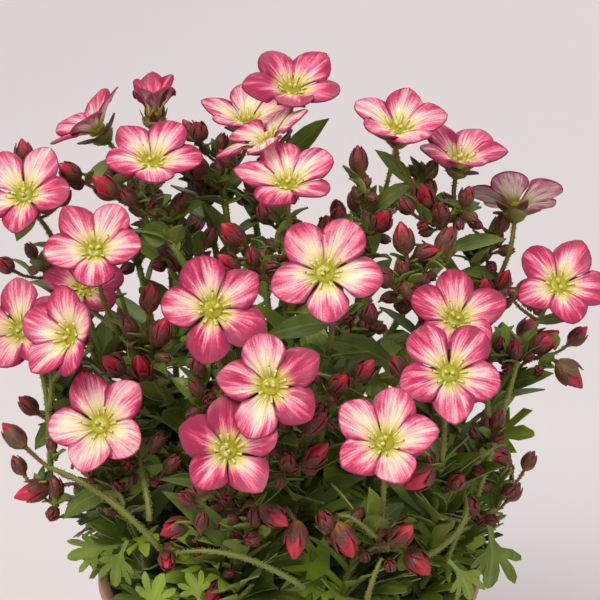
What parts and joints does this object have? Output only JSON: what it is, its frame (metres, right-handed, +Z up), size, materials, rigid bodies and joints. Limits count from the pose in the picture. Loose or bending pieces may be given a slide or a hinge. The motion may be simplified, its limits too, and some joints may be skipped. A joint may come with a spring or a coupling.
{
  "type": "potted plant",
  "caption": "Mossy saxifrage in bloom: pink and cream five-petalled flowers and dark buds on branched stems over a cushion of lobed leaves, in a round tapered brick-red pot.",
  "frame": {"origin": "centre of the pot's flat underside, on the surface that it stands on", "axes": "+Z up along the pot's axis, -Y towards the viewer of the picture, +X to the viewer's right"},
  "size_m": [0.1637, 0.1465, 0.2225],
  "materials": {
    "terracotta": "matte terracotta-coloured plastic of a nursery pot",
    "peat": "loose dark potting soil",
    "foliage": "soft green leaf and stem, finely haired",
    "petal": "soft petal, cream at its base and crimson pink at its edge"
  },
  "bodies": {
    "root": {"pot": "terracotta", "soil": "peat", "clump_01": "foliage", "clump_02": "foliage", "clump_03": "foliage", "clump_04": "foliage", "clump_05": "foliage", "clump_06": "foliage", "clump_07": "foliage", "clump_08": "foliage", "clump_09": "foliage", "clump_10": "foliage", "clump_11": "foliage", "clump_12": "foliage", "clump_13": "foliage", "clump_14": "foliage", "clump_15": "foliage", "clump_16": "foliage", "bloom_01": "petal", "bloom_02": "petal", "bloom_03": "petal", "bloom_04": "petal", "bloom_05": "petal", "bloom_06": "petal", "bloom_07": "petal", "bloom_08": "petal", "bloom_09": "petal", "bloom_10": "petal", "bloom_11": "petal", "bloom_12": "petal", "bloom_13": "petal", "bloom_14": "petal", "bloom_15": "petal", "bloom_16": "petal", "bloom_17": "petal", "bloom_18": "petal", "bloom_19": "petal", "bloom_20": "petal", "bloom_21": "petal", "bloom_22": "petal", "bloom_23": "petal", "bloom_24": "petal", "bloom_25": "petal", "bloom_26": "petal", "bloom_27": "petal", "bloom_28": "petal", "bloom_29": "petal", "bloom_30": "petal", "bloom_31": "petal"}
  },
  "joints": []
}
